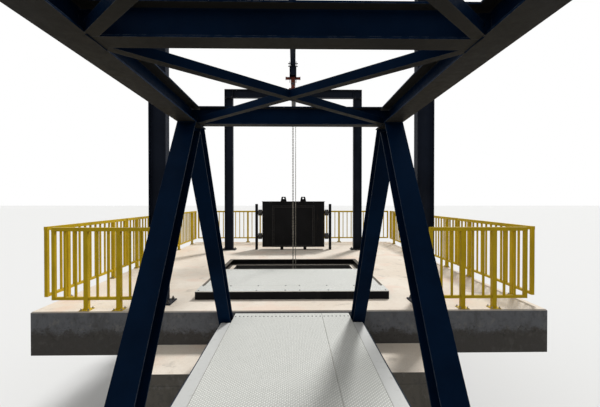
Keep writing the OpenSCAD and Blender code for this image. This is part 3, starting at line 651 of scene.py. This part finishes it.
# Hoist: nuts on the trolley's axles, and bolts in both ends of the housing
trolley_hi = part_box("trolley")[1]
axle_y, axle_drop, axle_hex = 0.075, 0.035, 0.020
chain_over_axis = 0.088
housing_z = hand_hi.z - chain_over_axis
bm = bmesh.new()
for sx, sy in corners:
    hex_bolt(bm, (sx * trolley_hi.x, hoist_y + sy * axle_y, trolley_hi.z - axle_drop), (sx, 0, 0),
             axle_hex)
for count, circle, x, out, across in ((6, 0.098, hoist_lo.x, -1, 0.014),
                                      (4, 0.082, hoist_hi.x, 1, 0.012)):
    for k in range(count):
        a = 2 * math.pi * (k + 0.5) / count
        hex_bolt(bm, (x, hoist_y + circle * math.cos(a), housing_z + circle * math.sin(a)),
                 (out, 0, 0), across)
piece("hoist_bolts", bm, bolt_dark, "hoist_carriage")

# Rims round the housing, and the two sides of the hook's latch
rim = [(0.121, 0), (0.1245, 0.002), (0.1245, 0.010), (0.121, 0.012)]
rim_starts = (0.006, 0.112)
latch = [(-0.004, 0.083), (-0.016, 0.083), (-0.062, 0.020), (-0.052, 0.010)]
latch_t, bow_outer_r = 0.003, 0.069
bow_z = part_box("load_hook")[0].z + bow_outer_r
bm = bmesh.new()
for start in rim_starts:
    lathe(bm, (hoist_lo.x + start, hoist_y, housing_z), (1, 0, 0), rim, 48)
for y in (hoist_y - 0.012, hoist_y + 0.009):
    prism(bm, [(x, y + latch_t, bow_z + z) for x, z in latch],
          [(x, y, bow_z + z) for x, z in latch])
piece("hoist_rims_and_latch", bm, mats["hoist_paint"], "hoist_carriage")

# Weld beads across the feet and heads of the diagonals, and along the crossbeams' ends
chord_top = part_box("left_bottom_chord")[1].z
chord_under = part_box("left_top_chord")[0].z
foot_z = chord_top - chord_d / 2
rise = chord_under - chord_top + chord_d
half_cut = diagonal_d / 2 * math.hypot(rise, half_panel) / rise
bead_r, bead_lift, bead_out, wobble = 0.006, 0.003, 0.002, 0.001
bead_half = chord_b / 2 - 0.002
beam_bead_r, beam_half = 0.005, 0.071
bm = bmesh.new()
for side in (-1, 1):
    for i in range(6):
        foot = end_node - half_panel * (i if i % 2 == 0 else i + 1)
        way = -1 if i % 2 == 0 else 1
        for z, out, lift in ((chord_top, way, bead_lift), (chord_under, -way, -bead_lift)):
            y = foot + way * half_panel * (z - foot_z) / rise + out * (half_cut + bead_out)
            points = [(side * truss_x + bead_half * (k / 5 - 1),
                       y + random.uniform(-wobble, wobble), z + lift) for k in range(11)]
            tube(bm, points, bead_r, 6)
top_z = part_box("top_crossbeams")[0].z
floor_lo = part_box("floor_frame")[0]
rows = [(end_node - half_panel * (k + 1), top_z) for k in range(5)]
rows += [(floor_lo.y + beam_half + half_panel * k, floor_lo.z) for k in range(7)]
for y, z in rows:
    for x in (chord_b / 2 - truss_x, truss_x - chord_b / 2):
        tube(bm, [(x, y - beam_half, z), (x, y + beam_half, z)], beam_bead_r, 6)
piece("weld_beads", bm, mats["bridge_steel"], "tower", True)


# Floor: pale to the camera and in reflections, and darker and warmer in the light that it
# throws back

def seen_directly(tree, path):
    """1 for camera, glossy and transmission rays."""
    result = path.outputs["Is Camera Ray"]
    for kind in ("Is Glossy Ray", "Is Transmission Ray"):
        either = tree.nodes.new("ShaderNodeMath")
        either.operation = "MAXIMUM"
        tree.links.new(result, either.inputs[0])
        tree.links.new(path.outputs[kind], either.inputs[1])
        result = either.outputs[0]
    return result


reach = 400
mesh = bpy.data.meshes.new("floor")
mesh.from_pydata([(-reach, -reach, 0), (reach, -reach, 0), (reach, reach, 0), (-reach, reach, 0)],
                 [], [(0, 1, 2, 3)])
floor = bpy.data.objects.new("floor", mesh)
bpy.context.scene.collection.objects.link(floor)
m = Mat("studio_floor", rough=0.95, specular=0.1)
shown = seen_directly(m.t, m.node("ShaderNodeLightPath"))
m.color(m.mix(shown, (0.34, 0.31, 0.27), (0.80, 0.80, 0.79)))
mesh.materials.append(m.m)

# World: white where it is seen, and dimmer as a light
world = bpy.data.worlds.new("studio")
bpy.context.scene.world = world
world.use_nodes = True
tree = world.node_tree
back = tree.nodes["Background"]
back.inputs["Color"].default_value = (1, 1, 1, 1)
level = tree.nodes.new("ShaderNodeMapRange")
level.inputs["To Min"].default_value = 0.42
level.inputs["To Max"].default_value = 1.0
tree.links.new(seen_directly(tree, tree.nodes.new("ShaderNodeLightPath")), level.inputs["Value"])
tree.links.new(level.outputs["Result"], back.inputs["Strength"])


def sun(name, azimuth, elevation, strength, angle):
    """Sun whose light comes from the given azimuth, in degrees from +X, and elevation."""
    data = bpy.data.lights.new(name, "SUN")
    data.energy = strength
    data.angle = math.radians(angle)
    obj = bpy.data.objects.new(name, data)
    a, e = math.radians(azimuth), math.radians(elevation)
    toward = Vector((math.cos(a) * math.cos(e), math.sin(a) * math.cos(e), math.sin(e)))
    obj.rotation_euler = toward.to_track_quat("Z", "Y").to_euler()
    bpy.context.scene.collection.objects.link(obj)


sun("key", azimuth=58, elevation=50, strength=2.5, angle=9)
sun("fill", azimuth=215, elevation=35, strength=0.30, angle=40)

# Camera, as solved from the photo's vanishing points
photo_width, focal_pixels = 600, 340
eye_x, eye_behind, eye_height = 0.03, 4.70, 1.527
tilt_down, turn_right = 0.5, 0.95
cam = bpy.data.cameras.new("camera")
cam.sensor_fit = "HORIZONTAL"
cam.sensor_width = 36
cam.lens = 36 * focal_pixels / photo_width
cam.clip_end = 300
cam_obj = bpy.data.objects.new("camera", cam)
cam_obj.location = (eye_x, slab_front - eye_behind, deck + eye_height)
cam_obj.rotation_euler = (math.radians(90 - tilt_down), 0, math.radians(-turn_right))
bpy.context.scene.collection.objects.link(cam_obj)
bpy.context.scene.camera = cam_obj
bpy.context.scene.view_settings.view_transform = "Standard"
